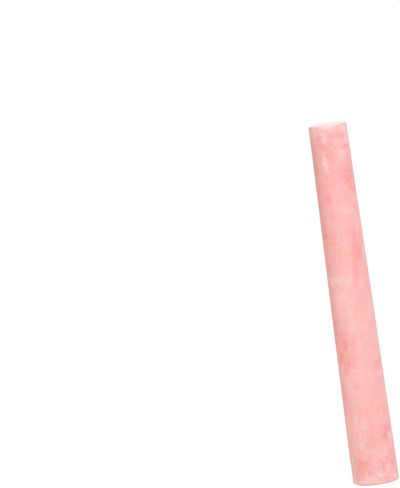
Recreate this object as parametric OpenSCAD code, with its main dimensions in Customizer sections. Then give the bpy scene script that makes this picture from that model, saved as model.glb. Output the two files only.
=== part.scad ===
// A stick of pink chalk, moulded in one piece and standing on its thick end.
// The origin is the middle of the thick end, and +Z runs up the stick's axis.
// -Y is the front.

/* [Stick] */
// Length of the stick
length = 80; // [50:1:120]
// Diameter at the thick end
thick_d = 10.3; // [9:0.1:14]
// How much less the thin end measures across
taper_d = 2; // [0.4:0.1:3]

/* [Edges] */
// Radius of the thick end's edge
thick_round = 0.35; // [0.2:0.05:0.6]
// Radius of the thin end's edge
thin_round = 0.25; // [0.15:0.05:0.5]

/* [Wear] */
// Height of the flat rubbed on the thick end's edge
rub_height = 0.4; // [0.3:0.05:0.8]
// How far that flat runs in across the end
rub_inset = 0.8; // [0.6:0.1:1.6]
// Direction of that flat, anticlockwise from +X
rub_turn = 190; // [0:5:355]
// Depth of the hollow worn in the thin end's edge
hollow_depth = 0.3; // [0.1:0.05:0.5]
// Width of that hollow
hollow_width = 4; // [2.5:0.1:5]
// Direction of that hollow, anticlockwise from +X
hollow_turn = 275; // [0:5:355]

/* [Hidden] */
$fn = 180;

chalk_pink = [0.97, 0.71, 0.69];

thick_r = thick_d / 2;
thin_r = thick_r - taper_d / 2;
// angle between the side and the axis
lean = atan((thick_r - thin_r) / length);
// how far out from the axis the two edge arcs are centred
thick_arc_x = thick_r - thick_round * (1 + sin(lean)) / cos(lean);
thin_arc_x = thick_r - (thin_round + (length - thin_round) * sin(lean)) / cos(lean);

// half of the stick's section, with an arc at each edge
module half_section() {
    polygon([
        [0, 0],
        [thick_arc_x, 0],
        [thick_arc_x + thick_round * cos(lean), thick_round * (1 + sin(lean))],
        [thin_arc_x + thin_round * cos(lean), length - thin_round * (1 - sin(lean))],
        [thin_arc_x, length],
        [0, length],
    ]);
    translate([thick_arc_x, thick_round])
        circle(thick_round);
    translate([thin_arc_x, length - thin_round])
        circle(thin_round);
}

// block with one face through the rubbed flat, and the rest clear of the stick
module rub() {
    slope = atan(rub_height / rub_inset);
    block = 4 * thick_r;
    rotate([0, 0, rub_turn])
        translate([thick_r - rub_inset, 0, 0])
            rotate([0, 90 - slope, 0])
                translate([0, -block / 2, -block / 2])
                    cube(block);
}

// ball that bites into the thin end's edge from above and outside
module hollow() {
    half_width = hollow_width / 2;
    ball_r = (half_width * half_width + hollow_depth * hollow_depth) / (2 * hollow_depth);
    clear = (ball_r - hollow_depth) / sqrt(2);
    rotate([0, 0, hollow_turn])
        translate([thin_r + clear, 0, length + clear])
            sphere(ball_r);
}

module chalk_stick() {
    color(chalk_pink)
        difference() {
            rotate_extrude()
                half_section();
            rub();
            hollow();
        }
}

chalk_stick();
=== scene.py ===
"""The looks of a stick of pink chalk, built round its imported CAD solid.

Sizes are in millimetres in the CAD's own frame, and turn into metres where a mesh, lamp or camera is made.
The stick stands on its thick end at the origin, with +Z up its axis and -Y towards the front.
"""

import math

import bpy
import numpy as np
from mathutils import Matrix, Vector, noise


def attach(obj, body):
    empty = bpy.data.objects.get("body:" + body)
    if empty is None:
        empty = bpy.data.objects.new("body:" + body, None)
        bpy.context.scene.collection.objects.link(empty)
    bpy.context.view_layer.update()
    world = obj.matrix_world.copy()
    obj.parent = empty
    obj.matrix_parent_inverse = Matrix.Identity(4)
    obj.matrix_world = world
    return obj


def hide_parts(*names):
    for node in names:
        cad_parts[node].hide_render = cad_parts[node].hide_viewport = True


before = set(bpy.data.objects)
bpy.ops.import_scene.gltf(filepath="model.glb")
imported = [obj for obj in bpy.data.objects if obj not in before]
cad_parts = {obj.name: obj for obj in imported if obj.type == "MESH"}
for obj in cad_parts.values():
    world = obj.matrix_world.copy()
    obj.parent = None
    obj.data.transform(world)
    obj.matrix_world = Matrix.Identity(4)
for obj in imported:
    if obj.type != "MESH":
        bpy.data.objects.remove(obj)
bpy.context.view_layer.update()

MM = 0.001
NODE = "chalk_stick"

# ---- the stick's size, from the frame ----

solid = np.array([v.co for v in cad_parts[NODE].data.vertices]) / MM
reach = np.hypot(solid[:, 0], solid[:, 1])
LENGTH = solid[:, 2].max()
THICK_EDGE = 0.35
THIN_EDGE = 0.25
low_half = solid[:, 2] < LENGTH / 2
THICK_SIDE = reach[low_half].max()
THIN_SIDE = reach[solid[:, 2] > LENGTH - 2 * THIN_EDGE].max()
LEAN = math.atan((THICK_SIDE - THIN_SIDE) / (LENGTH - THICK_EDGE - THIN_EDGE))

# ---- wear with a shape of its own ----

# a flat rubbed on the thick end's edge, a hollow in the thin end's, and the worn side above the flat;
# their turns are degrees from +X towards +Y
RUB_HEIGHT = 0.4
RUB_INSET = 0.8
RUB_TURN = 190
HOLLOW_DEPTH = 0.3
HOLLOW_WIDTH = 4
HOLLOW_TURN = 275
WORN_DEPTH = 0.1
WORN_HEIGHT = 7

# ---- low relief ----

# how high it stands, its lumps' sizes along X, Y and Z, the octaves of its noise, and the noise's offset
WAVES = (0.03, (8, 8, 15), 2, 3.1)
DRAG_LINES = (0.01, (0.5, 0.5, 14), 2, 17.7)
ROUGHNESS = (0.01, (0.9, 0.9, 1.4), 4, 41.3)

# ---- mesh spacing ----

# cells across each end face, the height between rings, and the steps round each edge
END_CELLS = 46
RING_GAP = 0.2
EDGE_STEPS = 7


def disc_grid(cells):
    """Unit-disc points from a square grid with no pinched middle, and its outermost points in turn."""
    steps = np.linspace(-1, 1, cells + 1)
    a, b = np.meshgrid(steps, steps)
    sideways = np.abs(a) >= np.abs(b)
    radius = np.where(sideways, a, b)
    share = np.where(sideways, b, a) / np.where(radius == 0, 1, radius)
    angle = np.where(sideways, share, 2 - share) * math.pi / 4
    points = np.stack([radius * np.cos(angle), radius * np.sin(angle)], -1).reshape(-1, 2)
    rim = np.flatnonzero(np.maximum(np.abs(a), np.abs(b)).ravel() > 1 - 0.5 / cells)
    turns = np.arctan2(points[rim, 1], points[rim, 0])
    return points, rim[np.argsort(turns)]


def disc_faces(cells):
    """The quads of that grid, anticlockwise from above."""
    rows, columns = np.mgrid[0:cells, 0:cells]
    corner = (rows * (cells + 1) + columns).ravel()
    return np.stack([corner, corner + 1, corner + cells + 2, corner + cells + 1], 1)


def section():
    """Radius, height and the normal's rise along the side, from the thick end's edge to the thin end's."""
    low = np.linspace(-math.pi / 2, LEAN, EDGE_STEPS + 1)
    high = np.linspace(LEAN, math.pi / 2, EDGE_STEPS + 1)
    low_r = THICK_SIDE - THICK_EDGE * math.cos(LEAN) + THICK_EDGE * np.cos(low)
    low_z = THICK_EDGE * (1 + np.sin(low))
    high_r = THIN_SIDE - THIN_EDGE * math.cos(LEAN) + THIN_EDGE * np.cos(high)
    high_z = LENGTH - THIN_EDGE * (1 - np.sin(high))
    rings = round(LENGTH / RING_GAP)
    up = np.linspace(0, 1, rings + 1)[1:-1]
    side_r = low_r[-1] + (high_r[0] - low_r[-1]) * up
    side_z = low_z[-1] + (high_z[0] - low_z[-1]) * up
    radius = np.concatenate([low_r, side_r, high_r])
    height = np.concatenate([low_z, side_z, high_z])
    rise = np.concatenate([low, np.full(rings - 1, LEAN), high])
    return radius, height, rise


def level(flat, size, height):
    """Flat points brought to this size and height."""
    return np.column_stack([flat * size, np.full(len(flat), height)])


def smooth_skin():
    """Points, normals and faces of the unworn stick, end faces included."""
    disc, rim = disc_grid(END_CELLS)
    radius, height, rise = section()
    around = disc[rim]
    low_disc = level(disc, radius[0], height[0])
    high_disc = level(disc, radius[-1], height[-1])
    rings = [level(around, r, z) for r, z in zip(radius[1:-1], height[1:-1])]
    ring_normals = [level(around, math.cos(t), math.sin(t)) for t in rise[1:-1]]
    down = np.tile([0.0, 0.0, -1.0], (len(disc), 1))
    points = np.concatenate([low_disc, *rings, high_disc])
    normals = np.concatenate([down, *ring_normals, -down])
    first_high = len(points) - len(disc)
    loops = [rim]
    loops += [len(disc) + k * len(rim) + np.arange(len(rim)) for k in range(len(rings))]
    loops += [first_high + rim]
    faces = [disc_faces(END_CELLS)[:, ::-1], disc_faces(END_CELLS) + first_high]
    for below, above in zip(loops, loops[1:]):
        faces.append(np.stack([below, np.roll(below, -1), np.roll(above, -1), above], 1))
    return points, normals, np.concatenate(faces)


def ease(value, low, high):
    """0 at low and 1 at high, eased between them and held beyond them."""
    share = np.clip((value - low) / (high - low), 0, 1)
    return share * share * (3 - 2 * share)


def lumps(points, tall, sizes, octaves, away):
    """Fractal noise that stands about this tall, with lumps of these sizes."""
    scaled = points / np.array(sizes) + away
    return tall * np.array([noise.fractal(p, 1.0, 2.0, octaves) for p in scaled])


def relief(points):
    """How far each point of the skin stands out, or in where negative."""
    rough = lumps(points, *WAVES) + lumps(points, *DRAG_LINES) + lumps(points, *ROUGHNESS)
    return rough - worn_side(points)


def worn_side(points):
    """How far the side is worn in above the rubbed flat."""
    turn = np.arctan2(points[:, 1], points[:, 0]) - math.radians(RUB_TURN)
    facing = np.clip(np.cos(turn), 0, 1)
    return WORN_DEPTH * facing**2 * ease(points[:, 2], WORN_HEIGHT, 0)


def heading(degrees):
    """The level direction at this turn."""
    turn = math.radians(degrees)
    return np.array([math.cos(turn), math.sin(turn), 0])


def cut_rub(points):
    """Brings what lies past the rubbed flat back onto it."""
    slope = math.atan2(RUB_HEIGHT, RUB_INSET)
    normal = heading(RUB_TURN) * math.sin(slope) - np.array([0, 0, math.cos(slope)])
    on_flat = heading(RUB_TURN) * (THICK_SIDE - RUB_INSET)
    past = np.maximum((points - on_flat) @ normal, 0)
    return points - past[:, None] * normal


def cut_hollow(points):
    """Pushes what lies in the hollow's ball out to its surface."""
    half_width = HOLLOW_WIDTH / 2
    ball_r = (half_width**2 + HOLLOW_DEPTH**2) / (2 * HOLLOW_DEPTH)
    clear = (ball_r - HOLLOW_DEPTH) / math.sqrt(2)
    centre = heading(HOLLOW_TURN) * (THIN_SIDE + clear) + np.array([0, 0, LENGTH + clear])
    away = points - centre
    distance = np.linalg.norm(away, axis=1, keepdims=True)
    return centre + away * np.maximum(ball_r / distance, 1)


# ---- pale and dark marks ----

MARKS_ATTRIBUTE = "marks"
GREY_SPECK_ATTRIBUTE = "grey_specks"

# a mark is full up to the first of these shares of its half sizes, and has faded out by the second
MARK_FULL = 0.1
MARK_GONE = 1.8

# how far the marks' outlines wander, and how many waves of that fall in a millimetre
WANDER = 0.3
WANDER_PITCH = 0.9

# marks on the front: height, degrees to the right of the front, half width, half height,
# degrees that the right end is raised, and strength, which is below 0 where the mark is dark
MARKS = [
    # long faint streaks
    (62.0, 68, 0.6, 18.0, 0, 0.03),
    (40.0, -42, 0.8, 44.0, 0, -0.02),
    (40.0, -4, 1.4, 44.0, 0, 0.035),
    (40.0, 32, 1.2, 44.0, 0, -0.04),
    (22.0, 66, 0.7, 22.0, 0, 0.06),
    # broad patches
    (79.6, 6, 2.8, 0.4, 0, 0.40),
    (79.2, 0, 5.0, 1.0, 0, 0.10),
    (75.5, 30, 2.6, 1.5, 0, 0.08),
    (72.8, -10, 2.6, 1.2, 0, -0.08),
    (70.0, -10, 6.0, 6.0, 0, -0.08),
    (69.5, 0, 2.0, 1.2, 0, -0.05),
    (68.5, -46, 2.2, 3.0, 0, 0.06),
    (67.0, -15, 2.0, 1.0, 0, -0.05),
    (58.0, 5, 2.5, 1.3, 0, 0.06),
    (57.0, -40, 5.0, 6.0, 0, -0.07),
    (53.5, 32, 2.5, 3.0, 0, -0.07),
    (43.5, -30, 5.0, 3.5, 0, 0.06),
    (36.0, 0, 3.0, 2.0, 0, 0.07),
    (34.5, 30, 2.0, 1.3, 0, -0.06),
    (32.0, 42, 3.0, 5.0, 0, 0.07),
    (26.0, -10, 2.4, 0.7, 0, 0.08),
    (24.0, 20, 2.0, 1.2, 0, 0.06),
    (22.5, -38, 4.0, 3.5, 0, 0.09),
    (21.8, 0, 2.0, 0.8, 0, -0.05),
    (15.2, -40, 2.2, 1.2, 0, 0.08),
    (9.5, -45, 3.5, 3.0, 0, 0.09),
    (7.0, 20, 2.0, 0.8, 0, 0.05),
    (0.7, -20, 3.0, 0.9, 0, 0.16),
    # the thin end
    (78.7, 54, 1.0, 0.9, 0, 0.26),
    (78.6, -60, 1.4, 1.6, 0, 0.34),
    (78.1, -26, 0.35, 0.4, 0, -0.20),
    (78.0, -19, 0.7, 0.6, 0, 0.25),
    (77.8, 4, 0.6, 0.8, 0, -0.10),
    (77.8, 38, 0.4, 0.3, 0, 0.08),
    (77.7, 31, 0.9, 0.55, 0, -0.14),
    (77.6, 45, 0.5, 1.0, 0, -0.12),
    (77.4, -38, 0.6, 0.5, 0, -0.17),
    (77.4, 66, 0.8, 1.8, 0, 0.24),
    (77.3, 9, 0.5, 0.5, 0, -0.12),
    (77.0, -16, 0.7, 0.4, 0, 0.22),
    (76.9, 35, 0.5, 0.4, 0, -0.22),
    (76.8, -16, 0.6, 0.5, 0, 0.20),
    (76.5, -22, 1.2, 0.3, 0, 0.10),
    (76.5, 29, 0.9, 0.55, 0, 0.22),
    (76.1, 56, 0.7, 0.5, 0, 0.18),
    (75.8, -38, 0.6, 0.5, 0, -0.14),
    (75.8, 50, 0.35, 0.6, 0, -0.16),
    (75.7, -24, 1.0, 0.3, 0, -0.08),
    (75.6, 46, 1.0, 0.35, 0, 0.10),
    (75.3, -14, 1.7, 0.8, 0, -0.13),
    (75.1, 44, 1.6, 0.4, 0, -0.16),
    (75.0, 26, 1.2, 0.7, 0, 0.08),
    (74.9, 12, 0.5, 0.5, 0, -0.14),
    (74.8, 50, 0.4, 0.5, 0, -0.14),
    (74.6, 42, 0.45, 0.5, 0, -0.20),
    (74.4, 50, 0.8, 0.35, 0, -0.10),
    (74.0, 32, 1.2, 0.6, 0, 0.18),
    (74.0, 54, 0.6, 0.5, 0, 0.18),
    (73.7, -5, 0.8, 1.0, 0, -0.14),
    (73.5, -46, 0.4, 0.9, 0, 0.10),
    (73.3, 38, 1.2, 0.35, 0, 0.10),
    (73.0, 10, 0.6, 0.8, 0, 0.10),
    (72.9, 33, 1.2, 0.6, 0, 0.15),
    # below the thin end, with its pale scratch
    (72.5, -36, 1.5, 1.5, 0, 0.06),
    (72.4, 30, 0.6, 0.8, 0, 0.10),
    (72.0, -31, 0.7, 1.2, 13, 0.12),
    (71.9, -21, 0.5, 2.1, 8, 0.34),
    (69.3, 28, 0.6, 0.6, 0, 0.12),
    (69.3, 30, 1.2, 0.8, 0, -0.14),
    (69.0, -62, 1.5, 6.0, 0, -0.08),
    (69.0, -20, 0.3, 0.9, 0, -0.13),
    (68.5, 62, 1.8, 3.5, 0, -0.12),
    (67.7, 43, 1.5, 0.8, 0, -0.15),
    (67.6, -20, 0.35, 0.5, 0, -0.10),
    (66.7, 50, 0.4, 0.5, 0, -0.10),
    (66.4, 7, 0.3, 1.4, 0, 0.08),
    (66.2, 46, 0.6, 0.8, 0, -0.08),
    (66.1, -3, 0.6, 0.6, 0, 0.07),
    (65.9, -28, 0.6, 0.3, 0, -0.10),
    (65.6, 49, 1.3, 0.45, 0, -0.20),
    (65.3, 0, 1.0, 1.2, 0, 0.07),
    (65.3, 46, 0.4, 0.5, 0, 0.10),
    (65.0, 62, 0.8, 1.2, 0, -0.08),
    (64.4, -21, 0.35, 1.2, 0, -0.12),
    (64.1, -29, 0.8, 0.8, 0, -0.27),
    (63.2, 58, 0.7, 0.8, 0, 0.19),
    (61.7, 54, 0.5, 0.5, 0, -0.22),
    (61.5, 5, 1.8, 1.6, 0, 0.08),
    (61.0, 30, 1.4, 0.75, 0, 0.20),
    (60.1, -25, 0.5, 0.8, 0, -0.10),
    (59.8, 0, 1.8, 0.9, 0, 0.05),
    (59.0, 55, 0.8, 1.6, 0, 0.10),
    (58.0, 32, 0.4, 1.0, 0, -0.13),
    (57.6, -57, 0.5, 0.9, 0, -0.18),
    # upper middle, with the red patch at its right
    (55.9, -54, 0.7, 0.6, 0, -0.26),
    (55.9, 16, 0.5, 0.6, 0, -0.12),
    (55.8, -34, 0.8, 0.6, 0, -0.13),
    (55.8, 24, 1.0, 0.8, 0, -0.05),
    (55.7, 33, 0.5, 1.1, 0, -0.20),
    (54.4, 4, 1.4, 1.4, 0, 0.09),
    (54.2, -35, 1.1, 0.3, 0, -0.14),
    (53.2, 19, 0.6, 0.8, 0, 0.08),
    (53.2, 35, 0.5, 0.4, 0, -0.12),
    (52.5, -26, 0.25, 0.7, 0, -0.12),
    (52.0, -15, 0.4, 1.0, 0, -0.14),
    (51.8, 24, 0.8, 2.2, 0, -0.09),
    (51.7, 50, 0.45, 1.6, -17, -0.17),
    (51.6, 38, 1.3, 2.0, 0, -0.17),
    (51.4, 64, 0.6, 1.9, 0, 0.14),
    (50.6, -30, 0.25, 0.5, 0, -0.12),
    (50.1, 37, 1.0, 0.45, 0, -0.14),
    (49.1, 38, 0.45, 0.35, 0, 0.15),
    (49.0, -50, 1.4, 1.2, 0, -0.06),
    (49.0, 52, 0.4, 0.8, 0, 0.07),
    (48.9, 32, 1.2, 0.8, 0, -0.08),
    (47.8, 41, 0.4, 1.2, 0, -0.10),
    (47.7, 23, 0.6, 1.4, -8, -0.21),
    (47.5, 62, 0.8, 1.2, 0, -0.09),
    # the pale band near the middle, and what is below it
    (46.9, -50, 0.7, 0.5, 0, -0.13),
    (46.5, -64, 0.5, 0.5, 0, 0.14),
    (46.2, 58, 0.8, 1.4, 0, -0.12),
    (46.1, -41, 0.6, 0.4, 0, 0.12),
    (46.0, 21, 0.45, 1.2, -5, -0.20),
    (45.9, -26, 1.0, 0.9, 0, 0.20),
    (45.8, -55, 0.7, 1.0, 0, 0.30),
    (45.7, -14, 1.0, 0.9, 0, 0.10),
    (45.6, -68, 0.5, 0.6, 0, 0.12),
    (45.5, -4, 0.9, 0.9, 0, 0.10),
    (45.3, 2, 0.7, 0.8, 0, 0.05),
    (44.5, 19, 0.4, 0.6, 0, -0.14),
    (44.4, 10, 0.8, 0.7, 0, -0.07),
    (44.2, 33, 0.5, 0.8, 0, 0.12),
    (42.5, 22, 1.8, 1.3, 0, -0.10),
    (42.2, -36, 1.3, 1.3, 0, 0.18),
    (42.2, -14, 0.6, 0.8, 0, 0.12),
    (42.0, -50, 1.2, 1.0, 0, -0.06),
    (40.5, -32, 0.8, 0.8, 0, 0.07),
    (40.3, 15, 1.0, 0.8, 0, -0.06),
    (40.2, 62, 0.7, 0.9, 0, 0.12),
    (39.5, 22, 0.2, 0.6, 0, -0.10),
    (39.4, -9, 0.7, 1.5, 0, 0.18),
    (39.3, -38, 1.3, 1.3, 0, 0.06),
    (39.0, 58, 1.2, 1.2, 0, 0.10),
    (38.9, -25, 0.15, 1.0, 0, -0.08),
    (38.1, 8, 0.3, 1.6, 0, -0.14),
    (38.1, 20, 0.4, 0.8, 0, -0.10),
    (38.1, 53, 1.0, 0.45, 0, 0.14),
    (37.0, 48, 0.4, 0.9, 0, 0.14),
    (36.3, -62, 0.5, 0.7, 0, -0.28),
    (36.2, 26, 1.2, 0.8, 0, -0.08),
    (35.2, -14, 1.4, 0.9, 0, 0.07),
    (35.1, 32, 0.6, 0.9, 0, 0.20),
    (35.1, 43, 0.5, 1.0, 0, -0.10),
    (34.6, -60, 0.5, 0.5, 0, -0.18),
    (34.0, -29, 0.7, 0.7, 0, -0.13),
    (33.5, -60, 1.2, 1.8, 0, -0.10),
    (33.5, -40, 0.8, 1.0, 0, -0.10),
    (33.5, 64, 0.7, 1.5, 0, 0.10),
    (33.3, -7, 0.6, 0.5, 0, -0.12),
    # lower middle, with the red patch at its left
    (32.3, -9, 0.35, 1.1, 0, -0.20),
    (32.2, -40, 0.9, 0.8, 0, -0.20),
    (32.0, 8, 0.3, 1.8, 0, 0.07),
    (31.9, -22, 1.2, 0.6, 0, -0.06),
    (31.8, -62, 0.4, 0.4, 0, -0.10),
    (31.5, 20, 0.6, 2.5, 0, -0.07),
    (30.8, -36, 0.8, 0.8, 0, -0.28),
    (30.4, -11, 0.4, 0.6, 0, -0.12),
    (29.3, -48, 0.4, 0.6, 0, -0.20),
    (29.2, -53, 0.7, 1.0, 0, -0.10),
    (28.4, -56, 0.5, 0.4, 0, -0.22),
    (27.9, -22, 1.2, 1.6, 0, -0.15),
    (27.6, -41, 1.1, 0.9, 0, -0.24),
    (27.6, 63, 0.8, 0.9, 0, -0.14),
    (27.2, -60, 0.5, 0.6, 0, -0.08),
    (27.0, 50, 1.0, 0.3, 0, -0.16),
    (26.2, 58, 0.8, 0.7, 0, -0.20),
    (26.1, 44, 0.6, 1.2, 0, -0.10),
    (26.0, -50, 1.0, 1.2, 0, -0.07),
    (25.9, -58, 0.7, 1.0, 0, 0.24),
    (25.8, 66, 0.5, 2.0, 0, -0.10),
    (25.7, -38, 0.7, 0.9, 0, -0.20),
    (25.5, 46, 0.3, 0.4, 0, -0.16),
    (25.1, -13, 0.8, 0.5, 0, -0.07),
    (25.0, 24, 0.5, 0.9, 0, 0.08),
    (24.6, -28, 0.5, 0.4, 0, 0.06),
    (24.5, 56, 0.6, 0.45, 0, 0.24),
    (23.6, -52, 1.0, 0.7, 0, 0.10),
    (23.6, -1, 0.5, 0.6, 0, 0.10),
    (23.2, 64, 0.4, 0.6, 0, -0.22),
    (22.8, -8, 1.2, 0.9, 0, -0.08),
    (22.2, -60, 0.5, 0.4, 0, -0.12),
    (22.2, -42, 0.85, 0.3, 8, 0.32),
    (22.2, -15, 0.4, 0.7, 0, -0.10),
    (21.3, -55, 0.6, 1.5, 0, -0.08),
    (20.5, 70, 0.5, 2.2, 0, 0.12),
    (20.0, -56, 1.5, 1.4, 0, -0.08),
    (19.3, 62, 0.9, 0.8, 0, 0.10),
    (18.2, -45, 1.0, 0.7, 0, 0.10),
    # above the thick end
    (17.2, 49, 0.8, 0.6, 0, -0.09),
    (16.8, -4, 0.5, 0.8, 0, -0.10),
    (16.0, 1, 0.45, 0.45, 0, -0.18),
    (15.6, 41, 0.4, 0.4, 0, 0.10),
    (15.4, 61, 0.6, 0.6, 0, -0.18),
    (14.5, -68, 0.5, 2.2, 0, -0.06),
    (14.5, 6, 0.4, 0.8, 0, -0.13),
    (14.4, 26, 1.2, 0.8, 0, 0.06),
    (14.3, -45, 0.3, 0.8, 0, -0.18),
    (14.0, 36, 1.2, 0.35, 0, 0.15),
    (13.8, -31, 0.7, 1.8, 0, 0.11),
    (13.4, -62, 0.7, 2.6, 0, 0.32),
    (12.9, -15, 0.6, 1.0, 0, 0.22),
    (12.9, 32, 1.2, 1.8, 0, -0.05),
    (12.5, 9, 0.6, 0.7, 0, -0.14),
    (12.4, 54, 1.2, 0.7, 0, -0.12),
    (11.9, 43, 0.6, 1.0, 0, -0.16),
    (11.8, -42, 1.2, 0.7, 0, -0.08),
    (11.7, 58, 0.8, 0.7, 18, -0.18),
    (10.6, 44, 0.6, 0.7, 18, -0.20),
    (10.6, 60, 0.5, 1.2, 0, 0.12),
    (10.4, 38, 0.35, 0.6, 0, -0.24),
    (10.3, 2, 0.9, 1.0, 12, -0.18),
    (10.3, 36, 1.6, 1.6, 0, -0.10),
    (9.5, 62, 0.6, 1.2, 0, 0.22),
    (9.1, -26, 0.35, 0.7, 0, 0.12),
    (9.1, -7, 0.6, 0.7, 12, -0.15),
    (9.1, 44, 0.4, 0.3, 0, 0.12),
    (8.7, 10, 0.7, 0.6, 0, -0.12),
    (8.0, 37, 0.4, 0.3, 0, 0.22),
    (7.8, 56, 1.1, 0.25, 0, 0.16),
    (7.6, -29, 1.0, 0.8, 0, -0.15),
    (6.9, 13, 0.6, 0.4, 0, 0.10),
    (6.8, -15, 0.35, 0.9, -15, 0.24),
    (6.6, -2, 0.7, 0.6, 0, -0.10),
    (6.6, 29, 0.35, 0.7, 0, 0.14),
    (6.4, -63, 0.6, 2.2, 0, 0.28),
    # the thick end
    (6.0, 44, 1.0, 0.4, 0, -0.13),
    (5.6, 36, 0.5, 0.8, 0, -0.06),
    (5.3, 19, 0.5, 0.5, 0, -0.12),
    (5.3, 39, 0.4, 0.7, 0, -0.14),
    (5.1, 6, 0.3, 0.8, 0, 0.12),
    (5.0, -60, 1.0, 3.0, 0, 0.07),
    (4.4, 50, 1.4, 0.7, 0, -0.10),
    (4.4, 59, 0.7, 1.1, 0, -0.13),
    (4.3, -30, 1.2, 1.6, 0, -0.32),
    (4.1, -17, 0.6, 0.6, 0, 0.12),
    (4.0, -76, 0.4, 3.5, 0, 0.14),
    (4.0, -68, 0.5, 1.6, 0, 0.12),
    (4.0, -10, 0.6, 0.9, 0, -0.12),
    (4.0, 26, 0.5, 0.9, -25, -0.20),
    (3.6, 41, 0.6, 0.6, 0, 0.22),
    (2.9, 28, 0.6, 0.5, 0, -0.14),
    (2.8, -11, 0.45, 0.25, 0, -0.26),
    (2.8, 38, 0.7, 0.6, 0, 0.14),
    (2.5, -14, 1.4, 1.6, 0, 0.06),
    (2.4, -44, 1.0, 1.2, 0, -0.08),
    (2.4, 10, 1.1, 0.7, 0, 0.20),
    (2.3, 20, 0.8, 0.5, 0, 0.16),
    (2.2, -18, 1.0, 0.6, 0, 0.10),
    (2.0, -13, 0.35, 0.3, 0, -0.26),
    (2.0, 54, 0.8, 0.8, 0, 0.20),
    (1.9, 14, 0.8, 0.45, 0, 0.22),
    (1.8, -72, 0.8, 2.5, 0, 0.18),
    (1.7, -13, 0.6, 0.4, 0, 0.16),
    (1.6, -58, 0.8, 1.2, 0, 0.20),
    (1.6, -8, 0.8, 0.4, 0, 0.10),
    (1.4, -38, 0.4, 0.5, 0, 0.16),
    (1.4, 58, 1.0, 0.3, 0, 0.30),
    (1.2, -47, 0.5, 0.45, 0, -0.12),
    (0.9, -66, 0.9, 1.1, 0, 0.30),
    (0.9, 28, 1.6, 0.35, 0, -0.24),
    (0.9, 64, 0.8, 0.8, 0, 0.14),
]

# grey specks on the front, in the same order, and how dark each is from 0 to 1
GREY_SPECKS = [
    (79.9, -48, 1.6, 0.3, 0, 0.35),
    (79.8, 66, 0.5, 0.25, 0, 0.45),
    (79.75, 50, 1.6, 0.25, 0, 0.8),
    (72.8, -40, 0.3, 0.9, 0, 0.35),
    (51.6, 46, 0.6, 1.4, 0, 0.15),
    (31.0, -38, 0.8, 0.9, 0, 0.15),
    (10.4, 38, 0.5, 0.6, 0, 0.3),
    (2.3, -13, 0.5, 0.7, 0, 0.3),
]


def side_radius(height):
    """The stick's radius at this height, edges left out."""
    return THICK_SIDE + (THIN_SIDE - THICK_SIDE) * height / LENGTH


def mark_strength(points, marks):
    """The sum of the marks at each point."""
    drift = np.array([noise.noise_vector(p) for p in points * WANDER_PITCH])
    x, y, z = (points + WANDER * drift).T
    total = np.zeros(len(points))
    for height, turn, half_width, half_height, raised, strength in marks:
        angle, slant = math.radians(turn), math.radians(raised)
        across = x * math.cos(angle) + y * math.sin(angle)
        outward = x * math.sin(angle) - y * math.cos(angle) - side_radius(height)
        up = z - height
        along = across * math.cos(slant) + up * math.sin(slant)
        upright = up * math.cos(slant) - across * math.sin(slant)
        distance = np.sqrt((along**2 + outward**2) / half_width**2 + (upright / half_height) ** 2)
        total += strength * ease(distance, MARK_GONE, MARK_FULL)
    return total


def make_mesh(name, points, faces):
    """A smooth-shaded object from points in millimetres."""
    mesh = bpy.data.meshes.new(name)
    mesh.from_pydata((points * MM).tolist(), [], faces.tolist())
    mesh.validate()
    mesh.shade_smooth()
    made = bpy.data.objects.new(name, mesh)
    bpy.context.scene.collection.objects.link(made)
    return made


def build_skin():
    """The worn stick, which carries the strength of its marks at each point."""
    points, normals, faces = smooth_skin()
    points = points + normals * relief(points)[:, None]
    points = cut_hollow(cut_rub(points))
    points[:, 2] = np.clip(points[:, 2], 0, LENGTH)
    made = make_mesh("chalk_skin", points, faces)
    for name, table in ((MARKS_ATTRIBUTE, MARKS), (GREY_SPECK_ATTRIBUTE, GREY_SPECKS)):
        strength = made.data.attributes.new(name, "FLOAT", "POINT")
        strength.data.foreach_set("value", mark_strength(points, table))
    return made


# ---- materials ----


def srgb(red, green, blue):
    """A linear colour from the three numbers that a picture would show."""
    parts = [c / 255 for c in (red, green, blue)]
    return [c / 12.92 if c <= 0.04045 else ((c + 0.055) / 1.055) ** 2.4 for c in parts] + [1]


RICH_PINK = srgb(251, 163, 163)
CHALK_PINK = srgb(254, 195, 197)
PALE_PINK = srgb(255, 225, 225)
# the thin end's pale colours: dust, and partly a painted highlight where it is lit from above
DUST_AND_HIGHLIGHT_PINK = srgb(255, 236, 236)
DUST_AND_HIGHLIGHT_WHITE = srgb(255, 252, 250)

# tints, which multiply the colour under them
WHITE = (1, 1, 1, 1)
WARM_TINT = (1, 1, 0.92, 1)
COOL_TINT = (1, 0.965, 1, 1)
GRIT_TINT = (0.87, 0.85, 0.85, 1)
HAZE_TINT = (0.955, 0.975, 0.975, 1)
# painted shade: grey along the thick end's bottom edge, where it turns under
EDGE_SHADE_TINT = (0.9, 0.93, 0.94, 1)
# how grey the grey specks make the colour
GREY_SPECK_TINT = (0.82, 0.88, 0.9, 1)

# noise: its patches' sizes along X, Y and Z, its detail, and its offset
BROAD_PATCHES = ((7, 7, 11), 1, 5.0)
BLOTCHES = ((2.4, 2.4, 3.4), 4, 31.0)
STREAKS = ((0.8, 0.8, 16), 2, 57.0)
FLECKS = ((0.5, 0.5, 0.9), 2, 23.0)
MARK_PATCHES = ((1.1, 1.1, 1.6), 3, 71.0)
HUES = ((1.5, 1.5, 1.9), 2, 83.0)
GRIT = ((0.45, 0.45, 0.6), 2, 27.0)
HAZE = ((1.5, 1.5, 1.2), 3, 97.0)
DUST = ((0.9, 0.9, 0.9), 3, 43.0)
PORES = ((0.3, 0.3, 0.3), 3, 11.0)
NOISE_ROUGHNESS = 0.62

# how much each pattern makes the pink richer and paler
BROAD_SHARE = 0.35
BLOTCH_SHARE = 0.75
STREAK_SHARE = 0.4
FLECK_SHARE = 0.36

# the first three are weaker on the front, where marks are placed instead: what is left of them there,
# and the Y between which they grow to full
FRONT_SHARE = 0.25
FRONT_REACH = (-1, 3)
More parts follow.
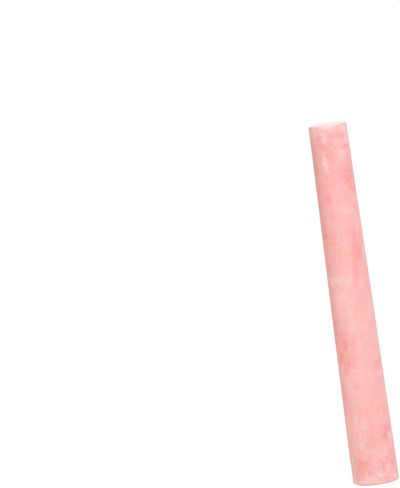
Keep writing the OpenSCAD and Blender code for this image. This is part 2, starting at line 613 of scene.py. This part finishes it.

# heights between which grit, the thin end's rim dust and painted highlight, scraping, and the painted shade
# along the thick end's bottom edge change
THIN_GRIT_REACH = (66, 72)
THICK_GRIT_REACH = (22, 12)
# dust and a painted highlight along the thin end's rim
RIM_DUST_AND_HIGHLIGHT_REACH = (LENGTH - 0.4, LENGTH)
SCRAPED_REACH = (1.7, 0.6)
# the painted shade along the thick end's bottom edge
EDGE_SHADE_REACH = (0.8, 0.2)

# how strong each is at the first and at the second of those heights
THIN_GRIT = (0.45, 1)
THICK_GRIT = (0.45, 0.8)
RIM_DUST_AND_HIGHLIGHT = (0, 0.5)
SCRAPED = (0, 0.35)

# the Y between which the thin end's dust and painted highlight turn from pink to white, whiter towards the
# back, and how thick the dust is where it is thinnest
DUST_AND_HIGHLIGHT_FADE = (-4, 2.5)
DUST_LEAST = 0.82

# how far those heights wander, half of it up and half down, and the noise that moves them
HEIGHT_WANDER = 0.5
DRIFT_SCALE = 0.8
DRIFT_DETAIL = 4

PORE_DEPTH = 0.03
PORE_STRENGTH = 0.25

CHALK_FINISH = {
    "Roughness": 0.95,
    "Specular IOR Level": 0.05,
    "Diffuse Roughness": 0.3,
    "Sheen Weight": 0.25,
    "Sheen Tint": (1, 0.45, 0.38, 1),
    "Sheen Roughness": 0.7,
}

# the places of the Mix node's inputs and output for colours
MIX_SHARE = 0
MIX_FIRST = 6
MIX_SECOND = 7
MIX_RESULT = 2


def set_input(tree, socket, value):
    """Links another node's output to a socket, or sets a number or colour on it."""
    if isinstance(value, bpy.types.NodeSocket):
        tree.links.new(value, socket)
    else:
        socket.default_value = value


def add_node(tree, kind, inputs, **settings):
    """A node with these inputs and settings. Returns its first output."""
    made = tree.nodes.new(kind)
    for name, value in settings.items():
        setattr(made, name, value)
    for name, value in inputs.items():
        set_input(tree, made.inputs[name], value)
    return made.outputs[0]


def maths(tree, operation, first, second):
    """One step of arithmetic."""
    return add_node(tree, "ShaderNodeMath", {0: first, 1: second}, operation=operation)


def mottle(tree, place, sizes, detail, away):
    """Noise of 0 to 1 round 0.5, in patches of these sizes."""
    scale = [1 / size for size in sizes]
    mapping = {"Vector": place, "Location": (away, away, away), "Scale": scale}
    mapped = add_node(tree, "ShaderNodeMapping", mapping)
    texture = {"Vector": mapped, "Scale": 1, "Detail": detail, "Roughness": NOISE_ROUGHNESS}
    return add_node(tree, "ShaderNodeTexNoise", texture)


def ramp(tree, value, stops):
    """A colour that follows value through stops of position and colour."""
    made = tree.nodes.new("ShaderNodeValToRGB")
    elements = made.color_ramp.elements
    while len(elements) < len(stops):
        elements.new(0.5)
    for element, (position, colour) in zip(elements, stops):
        element.position = position
        element.color = colour
    tree.links.new(value, made.inputs[0])
    return made.outputs[0]


def spread(tree, value, low, high, to_low=0.0, to_high=1.0):
    """value from low..high to to_low..to_high, held at the ends and eased between them."""
    inputs = {0: value, 1: low, 2: high, 3: to_low, 4: to_high}
    return add_node(tree, "ShaderNodeMapRange", inputs, interpolation_type="SMOOTHSTEP")


def blend(tree, share, first, second, how="MIX"):
    """Colour first with this share of second mixed in, or multiplied on."""
    made = tree.nodes.new("ShaderNodeMix")
    made.data_type = "RGBA"
    made.blend_type = how
    set_input(tree, made.inputs[MIX_SHARE], share)
    set_input(tree, made.inputs[MIX_FIRST], first)
    set_input(tree, made.inputs[MIX_SECOND], second)
    return made.outputs[MIX_RESULT]


def tinted(tree, share, colour, tint):
    """colour with this share of the tint multiplied on."""
    return blend(tree, share, colour, tint, "MULTIPLY")


def object_coordinates(tree, kind):
    """The place or the normal in the object's own frame."""
    return tree.nodes.new("ShaderNodeTexCoord").outputs[kind]


def in_millimetres(tree):
    """The place on the object in millimetres."""
    inputs = {0: object_coordinates(tree, "Object"), "Scale": 1 / MM}
    return add_node(tree, "ShaderNodeVectorMath", inputs, operation="SCALE")


def component(tree, vector, axis):
    """One number of a vector."""
    split = tree.nodes.new("ShaderNodeSeparateXYZ")
    tree.links.new(vector, split.inputs[0])
    return split.outputs[axis]


def wandered(tree, place, far):
    """place moved by up to half of far each way, so that what is laid out on it gets uneven outlines."""
    drift = tree.nodes.new("ShaderNodeTexNoise")
    drift.inputs["Scale"].default_value = DRIFT_SCALE
    drift.inputs["Detail"].default_value = DRIFT_DETAIL
    tree.links.new(place, drift.inputs["Vector"])
    half = far / 2
    inputs = {0: drift.outputs["Color"], 1: (far, far, far), 2: (-half, -half, -half)}
    moved = add_node(tree, "ShaderNodeVectorMath", inputs, operation="MULTIPLY_ADD")
    return add_node(tree, "ShaderNodeVectorMath", {0: place, 1: moved}, operation="ADD")


def painted(tree, attribute):
    """What the mesh carries at each point under this name."""
    made = tree.nodes.new("ShaderNodeAttribute")
    made.attribute_name = attribute
    return made.outputs["Fac"]


def patches(tree, place):
    """Broad patches, blotches and streaks: above 0 where the pink is paler, below 0 where it is richer."""
    broad = maths(tree, "MULTIPLY", mottle(tree, place, *BROAD_PATCHES), BROAD_SHARE)
    blotch = maths(tree, "MULTIPLY", mottle(tree, place, *BLOTCHES), BLOTCH_SHARE)
    streak = maths(tree, "MULTIPLY", mottle(tree, place, *STREAKS), STREAK_SHARE)
    total = maths(tree, "ADD", maths(tree, "ADD", broad, blotch), streak)
    total = maths(tree, "SUBTRACT", total, (BROAD_SHARE + BLOTCH_SHARE + STREAK_SHARE) / 2)
    share = spread(tree, component(tree, place, "Y"), *FRONT_REACH, FRONT_SHARE, 1)
    return maths(tree, "MULTIPLY", total, share)


def paleness(tree, place):
    """0 where the pink is richest, 0.5 on plain chalk and 1 where it is palest."""
    flecks = maths(tree, "SUBTRACT", mottle(tree, place, *FLECKS), 0.5)
    flecks = maths(tree, "MULTIPLY", flecks, FLECK_SHARE)
    pale = maths(tree, "ADD", maths(tree, "ADD", patches(tree, place), flecks), 0.5)
    patchy = spread(tree, mottle(tree, place, *MARK_PATCHES), 0.3, 0.7, 0.6, 1.4)
    marks = maths(tree, "MULTIPLY", painted(tree, MARKS_ATTRIBUTE), patchy)
    return maths(tree, "ADD", pale, marks)


def pink(tree, place):
    """The chalk's own colour, richer and paler, warmer and cooler."""
    colour = ramp(tree, paleness(tree, place), [(0.0, RICH_PINK), (0.5, CHALK_PINK), (1.0, PALE_PINK)])
    hue = ramp(tree, mottle(tree, place, *HUES), [(0.35, WARM_TINT), (0.65, COOL_TINT)])
    return tinted(tree, 1.0, colour, hue)


def gritty(tree, place, height, colour):
    """colour with fine grey grit, which is stronger near both ends, and a faint haze."""
    grit = ramp(tree, mottle(tree, place, *GRIT), [(0.2, GRIT_TINT), (0.5, WHITE)])
    thin_grit = spread(tree, height, *THIN_GRIT_REACH, *THIN_GRIT)
    thick_grit = spread(tree, height, *THICK_GRIT_REACH, *THICK_GRIT)
    colour = tinted(tree, maths(tree, "MAXIMUM", thin_grit, thick_grit), colour, grit)
    haze = ramp(tree, mottle(tree, place, *HAZE), [(0.3, HAZE_TINT), (0.65, WHITE)])
    return tinted(tree, 1.0, colour, haze)


def dusty_and_highlit(tree, place, height, colour):
    """colour with pale dust on the thin end and along its rim, partly a painted highlight: paler on faces
    that look up, and whiter towards the back.
    """
    # paler the more a face looks up: dust, and partly a painted highlight from the light above
    upward = component(tree, object_coordinates(tree, "Normal"), "Z")
    patchy = spread(tree, mottle(tree, place, *DUST), 0.35, 0.6, DUST_LEAST, 1)
    dust = maths(tree, "MULTIPLY", spread(tree, upward, 0.35, 1), patchy)
    rim_dust_and_highlight = spread(tree, height, *RIM_DUST_AND_HIGHLIGHT_REACH, *RIM_DUST_AND_HIGHLIGHT)
    # painted highlight: whiter towards the back of the thin end
    whiter_dust_and_highlight = spread(tree, component(tree, place, "Y"), *DUST_AND_HIGHLIGHT_FADE)
    dust_and_highlight_colour = blend(tree, whiter_dust_and_highlight, DUST_AND_HIGHLIGHT_PINK, DUST_AND_HIGHLIGHT_WHITE)
    return blend(tree, maths(tree, "MAXIMUM", dust, rim_dust_and_highlight), colour, dust_and_highlight_colour)


def rubbed(tree, height, colour):
    """colour scraped paler above the thick end, and with painted shade, slightly grey, along its bottom
    edge.
    """
    colour = blend(tree, spread(tree, height, *SCRAPED_REACH, *SCRAPED), colour, PALE_PINK)
    # painted shade: grey along the thick end's bottom edge, where it turns under
    return tinted(tree, spread(tree, height, *EDGE_SHADE_REACH), colour, EDGE_SHADE_TINT)


def chalk():
    """Pink chalk: matt, with fine pores, noise for its colour, and the marks that the mesh carries."""
    material = bpy.data.materials.new("pink_chalk")
    material.use_nodes = True
    tree = material.node_tree
    shader = tree.nodes["Principled BSDF"]
    place = in_millimetres(tree)
    height = component(tree, wandered(tree, place, HEIGHT_WANDER), "Z")
    colour = gritty(tree, place, height, pink(tree, place))
    # the thin end's dust, partly painted highlight; scraping above the thick end, and painted shade along
    # its bottom edge
    colour = rubbed(tree, height, dusty_and_highlit(tree, place, height, colour))
    # greyer where the mesh carries grey specks
    colour = tinted(tree, painted(tree, GREY_SPECK_ATTRIBUTE), colour, GREY_SPECK_TINT)
    tree.links.new(colour, shader.inputs["Base Color"])
    pores = {"Height": mottle(tree, place, *PORES), "Strength": PORE_STRENGTH, "Distance": PORE_DEPTH * MM}
    tree.links.new(add_node(tree, "ShaderNodeBump", pores), shader.inputs["Normal"])
    for socket, value in CHALK_FINISH.items():
        shader.inputs[socket].default_value = value
    return material


# ---- floor, world and lamps ----

FLOOR_SIZE = 6000
FLOOR_NEAR = 40
FLOOR_FAR = 150
FLOOR_GREY = 0.85
FLOOR_LIT = 0.25
FLOOR_GLOW = 0.8
AMBIENT = 0.33
LAMP_DISTANCE = 700
LAMP_SIZE = 400

WHITE_LIGHT = (1, 1, 1)
KEY_LIGHT = (0.95, 1, 1)
FILL_LIGHT = (1, 0.72, 0.25)
SIDE_LIGHT = (0.8, 0.75, 0.6)
LOW_LIGHT = (1, 0.72, 0.7)


def for_eyes(tree, seen, other):
    """Shader seen for the rays that show a background, and other for the rays that light the object."""
    path = tree.nodes.new("ShaderNodeLightPath")
    eyes = maths(tree, "MAXIMUM", path.outputs["Is Camera Ray"], path.outputs["Is Glossy Ray"])
    eyes = maths(tree, "MAXIMUM", eyes, path.outputs["Is Transmission Ray"])
    return mix_shaders(tree, eyes, other, seen)


def mix_shaders(tree, share, first, second):
    """Shader first with this share of second mixed in."""
    return add_node(tree, "ShaderNodeMixShader", {0: share, 1: first, 2: second})


def grey(value):
    """A grey with no alpha of its own."""
    return (value, value, value, 1)


def floor_white():
    """White floor: lit, with a soft shadow, round the stick, and plain white further off."""
    material = bpy.data.materials.new("floor_white")
    material.use_nodes = True
    tree = material.node_tree
    tree.nodes.remove(tree.nodes["Principled BSDF"])
    output = tree.nodes["Material Output"]
    lit = add_node(tree, "ShaderNodeBsdfDiffuse", {"Color": grey(FLOOR_GREY)})
    part_lit = add_node(tree, "ShaderNodeBsdfDiffuse", {"Color": grey(FLOOR_LIT)})
    glow = add_node(tree, "ShaderNodeEmission", {"Color": WHITE, "Strength": FLOOR_GLOW})
    near = add_node(tree, "ShaderNodeAddShader", {0: part_lit, 1: glow})
    far = add_node(tree, "ShaderNodeEmission", {"Color": WHITE, "Strength": 1})
    distance = tree.nodes.new("ShaderNodeVectorMath")
    distance.operation = "LENGTH"
    tree.links.new(in_millimetres(tree), distance.inputs[0])
    away = spread(tree, distance.outputs["Value"], FLOOR_NEAR, FLOOR_FAR)
    seen = mix_shaders(tree, away, near, far)
    tree.links.new(for_eyes(tree, seen, lit), output.inputs["Surface"])
    return material


def build_floor():
    """A wide level square at the stick's foot."""
    half = FLOOR_SIZE / 2
    corners = np.array([[-half, -half, 0], [half, -half, 0], [half, half, 0], [-half, half, 0]])
    floor = make_mesh("floor", corners, np.array([[0, 1, 2, 3]]))
    floor.data.materials.append(floor_white())


def build_world():
    """Even white light from all round, behind a white background."""
    world = bpy.data.worlds.new("studio")
    bpy.context.scene.world = world
    world.use_nodes = True
    tree = world.node_tree
    ambient = tree.nodes["Background"]
    ambient.inputs["Color"].default_value = WHITE
    ambient.inputs["Strength"].default_value = AMBIENT
    white = add_node(tree, "ShaderNodeBackground", {"Color": WHITE, "Strength": 1})
    output = tree.nodes["World Output"]
    tree.links.new(for_eyes(tree, white, ambient.outputs[0]), output.inputs["Surface"])


def aim(thing, target):
    """Points a lamp or camera at a place."""
    thing.rotation_mode = "QUATERNION"
    thing.rotation_quaternion = (target - thing.location).to_track_quat("-Z", "Y")


def add_lamp(name, turn, rise, share, colour, distance=LAMP_DISTANCE, size=LAMP_SIZE, height=LENGTH / 2):
    """A soft square lamp aimed at this height, which lights a white face there to this share of full white.

    turn is in degrees to the right of the front, and rise in degrees above level.
    """
    angle, up = math.radians(turn), math.radians(rise)
    target = Vector((0, 0, height)) * MM
    back = Vector((math.sin(angle) * math.cos(up), -math.cos(angle) * math.cos(up), math.sin(up)))
    light = bpy.data.lights.new(name, "AREA")
    light.size = size * MM
    light.energy = share * (math.pi * distance * MM) ** 2
    light.color = colour
    lamp = bpy.data.objects.new(name, light)
    lamp.location = target + back * distance * MM
    lamp.visible_camera = False
    lamp.visible_glossy = False
    bpy.context.scene.collection.objects.link(lamp)
    aim(lamp, target)


def build_lamps():
    """A key lamp at the front right, and weaker ones all round."""
    add_lamp("key", 20, 20, 0.45, KEY_LIGHT)
    add_lamp("fill", -42, 20, 0.11, FILL_LIGHT)
    add_lamp("top", 0, 80, 0.3, WHITE_LIGHT)
    add_lamp("rear_right", 160, 25, 0.24, WHITE_LIGHT)
    add_lamp("rear_left", -168, 25, 0.24, WHITE_LIGHT)
    add_lamp("side", 85, 15, 0.05, SIDE_LIGHT)
    add_lamp("low_side", -100, 0, 0.11, LOW_LIGHT, distance=80, size=20, height=12)


# ---- camera ----

# the frame's height and the stick's place in it are measured at the stick
CAMERA_DISTANCE = 850
CAMERA_RISE = 8
CAMERA_ROLL = 7.8
FRAME_HEIGHT = 107.5
RIGHT_OF_MIDDLE = 33.44
BELOW_MIDDLE = 13.1
SENSOR = 36
CLIP_NEAR = 50
CLIP_FAR = 20000


def build_camera():
    """A camera a little above the stick, turned so that the stick leans left and stands at the right."""
    data = bpy.data.cameras.new("camera")
    data.sensor_width = SENSOR
    data.lens = SENSOR * CAMERA_DISTANCE / FRAME_HEIGHT
    data.clip_start = CLIP_NEAR * MM
    data.clip_end = CLIP_FAR * MM
    camera = bpy.data.objects.new("camera", data)
    bpy.context.scene.collection.objects.link(camera)
    rise = math.radians(CAMERA_RISE)
    target = Vector((0, 0, LENGTH / 2)) * MM
    camera.location = target + Vector((0, -math.cos(rise), math.sin(rise))) * CAMERA_DISTANCE * MM
    upright = (target - camera.location).to_track_quat("-Z", "Y").to_matrix()
    rolled = upright @ Matrix.Rotation(-math.radians(CAMERA_ROLL), 3, "Z")
    right, up = rolled.col[0], rolled.col[1]
    middle = target - right * RIGHT_OF_MIDDLE * MM + up * BELOW_MIDDLE * MM
    forward = (middle - camera.location).normalized()
    across = (right - forward * right.dot(forward)).normalized()
    turned = Matrix((across, (-forward).cross(across), -forward)).transposed()
    camera.rotation_mode = "QUATERNION"
    camera.rotation_quaternion = turned.to_quaternion()
    bpy.context.scene.camera = camera


skin = build_skin()
skin.data.materials.append(chalk())
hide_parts(NODE)
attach(skin, "root")

build_floor()
build_world()
build_lamps()
build_camera()
bpy.context.scene.view_settings.view_transform = "Standard"
